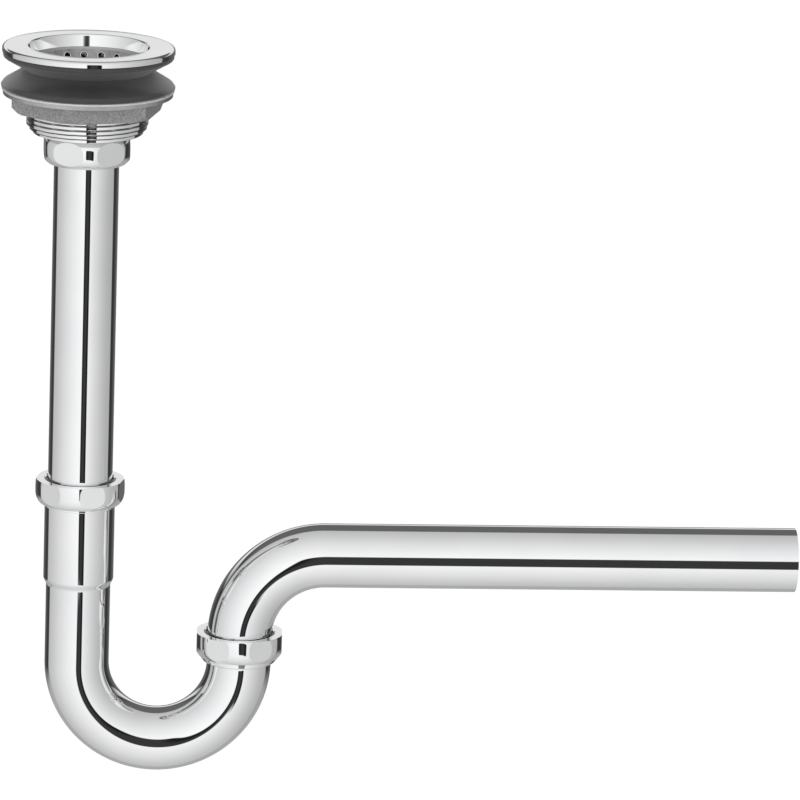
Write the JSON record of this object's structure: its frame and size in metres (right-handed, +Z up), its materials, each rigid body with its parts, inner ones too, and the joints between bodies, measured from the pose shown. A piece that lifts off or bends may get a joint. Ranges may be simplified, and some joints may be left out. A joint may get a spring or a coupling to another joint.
{
  "type": "basin waste pipe",
  "caption": "Chromed basin waste with a strainer bowl and rubber gaskets, a straight tailpipe, a U-shaped water trap on slip nuts and a level wall tube.",
  "frame": {"origin": "centre of the flange's underside, where the waste seats on the basin", "axes": "+Z up along the waste and tailpipe axis, +X along the wall tube towards its open end"},
  "size_m": [0.4012, 0.0852, 0.3682],
  "materials": {
    "chrome_brass": "bright chrome plate, polished",
    "bright_steel": "bright turned face",
    "cast_metal": "rough grey casting",
    "black_rubber": "matt moulded rubber",
    "white_nylon": "plain moulded"
  },
  "bodies": {
    "waste": {"waste_body": "chrome_brass", "strainer_dish": "chrome_brass", "flange_gasket": "black_rubber", "tailpipe_washer": "black_rubber"},
    "clamp_stack": {"cone_gasket": "black_rubber", "clamp_washer": "bright_steel"},
    "lock_nut": {"lock_nut": "cast_metal"},
    "coupling_ring": {"coupling_ring": "white_nylon"},
    "coupling_nut": {"coupling_nut": "chrome_brass"},
    "tailpipe": {"tailpipe": "chrome_brass"},
    "inlet_seal": {"inlet_slip_washer": "black_rubber"},
    "trap": {"trap_bend": "chrome_brass", "inlet_collar": "chrome_brass", "outlet_collar": "chrome_brass"},
    "inlet_ring": {"inlet_friction_ring": "white_nylon"},
    "inlet_nut": {"inlet_slip_nut": "chrome_brass"},
    "outlet_seal": {"outlet_slip_washer": "black_rubber"},
    "wall_tube": {"wall_tube": "chrome_brass"},
    "outlet_ring": {"outlet_friction_ring": "white_nylon"},
    "outlet_nut": {"outlet_slip_nut": "chrome_brass"}
  },
  "joints": [
    {"name": "clamp_slide", "type": "slide", "parent": "waste", "child": "clamp_stack", "axis": [0, 0, -1], "range_m": [0, 0.0101]},
    {"name": "lock_nut_turn", "type": "hinge", "parent": "clamp_stack", "child": "lock_nut", "pos_m": [0, 0, 0], "axis": [0, 0, -1], "range_deg": [0, 1560]},
    {"name": "coupling_slide", "type": "slide", "parent": "waste", "child": "coupling_ring", "axis": [0, 0, -1], "range_m": [0, 0.0061]},
    {"name": "coupling_nut_turn", "type": "hinge", "parent": "coupling_ring", "child": "coupling_nut", "pos_m": [0, 0, 0], "axis": [0, 0, -1], "range_deg": [0, 1180]},
    {"name": "tailpipe_swivel", "type": "hinge", "parent": "waste", "child": "tailpipe", "pos_m": [0, 0, 0], "axis": [0, 0, 1], "continuous": true},
    {"name": "trap_slide", "type": "slide", "parent": "tailpipe", "child": "inlet_seal", "axis": [0, 0, 1], "range_m": [-0.015, 0.012]},
    {"name": "trap_swivel", "type": "hinge", "parent": "inlet_seal", "child": "trap", "pos_m": [0, 0, 0], "axis": [0, 0, 1], "continuous": true},
    {"name": "inlet_nut_slide", "type": "slide", "parent": "trap", "child": "inlet_ring", "axis": [0, 0, 1], "range_m": [0, 0.0051]},
    {"name": "inlet_nut_turn", "type": "hinge", "parent": "inlet_ring", "child": "inlet_nut", "pos_m": [0, 0, 0], "axis": [0, 0, 1], "range_deg": [0, 990]},
    {"name": "arm_swivel", "type": "hinge", "parent": "trap", "child": "outlet_seal", "pos_m": [0.081, 0, 0], "axis": [0, 0, 1], "range_deg": [-150, 150]},
    {"name": "arm_slide", "type": "slide", "parent": "outlet_seal", "child": "wall_tube", "axis": [0, 0, 1], "range_m": [0, 0.004]},
    {"name": "outlet_nut_slide", "type": "slide", "parent": "trap", "child": "outlet_ring", "axis": [0, 0, 1], "range_m": [0, 0.0051]},
    {"name": "outlet_nut_turn", "type": "hinge", "parent": "outlet_ring", "child": "outlet_nut", "pos_m": [0.081, 0, 0], "axis": [0, 0, 1], "range_deg": [0, 990]}
  ],
  "couplings": [
    {"joint": "clamp_slide", "follows": "lock_nut_turn", "m_per_rad": 0.00036606},
    {"joint": "coupling_slide", "follows": "coupling_nut_turn", "m_per_rad": 0.00028875},
    {"joint": "inlet_nut_slide", "follows": "inlet_nut_turn", "m_per_rad": 0.00028875},
    {"joint": "outlet_nut_slide", "follows": "outlet_nut_turn", "m_per_rad": 0.00028875}
  ]
}
